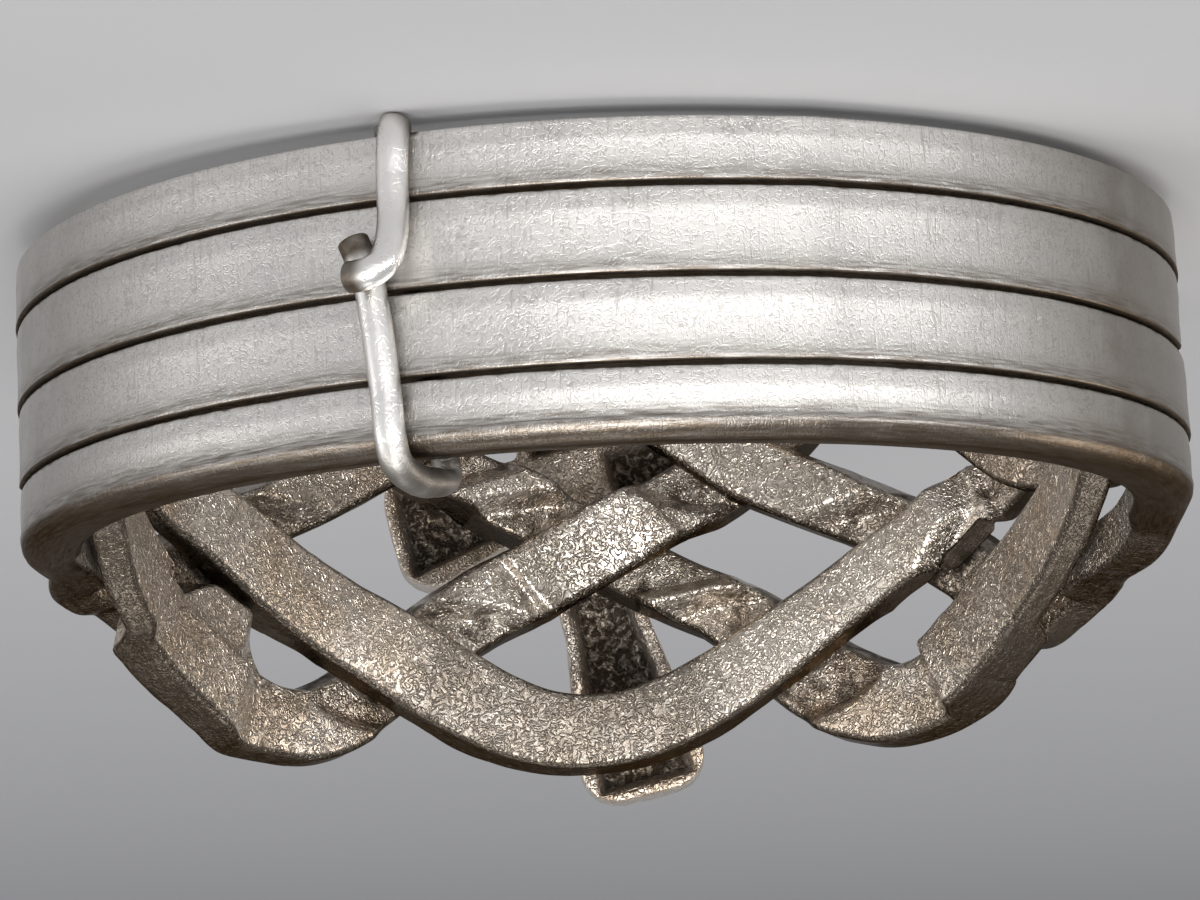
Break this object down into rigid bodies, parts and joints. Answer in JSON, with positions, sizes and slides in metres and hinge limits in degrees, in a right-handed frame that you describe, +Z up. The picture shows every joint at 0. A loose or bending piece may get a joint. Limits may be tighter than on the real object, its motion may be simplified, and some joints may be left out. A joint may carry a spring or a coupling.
{
  "type": "celtic knot ring",
  "caption": "Silver finger ring of flat bands woven into a Celtic knot with a small cross at the front, stacked plainly at the back and tied there with wire.",
  "frame": {"origin": "centre of the ring's bounding box, on the surface that the ring lies on", "axes": "+Z up, along the finger hole; -Y towards the knot and its cross; +Y towards the plain stack and its wire tie; +X to the picture's right"},
  "size_m": [0.0222, 0.0248, 0.0106],
  "materials": {
    "worn_silver": "worn satin sterling silver, dark in its grooves",
    "bright_silver": "rubbed bright"
  },
  "bodies": {
    "root": {"edge_band": "worn_silver", "cross_band": "worn_silver", "inner_band": "worn_silver", "rim_band": "worn_silver", "tie_wire": "bright_silver"}
  },
  "joints": []
}
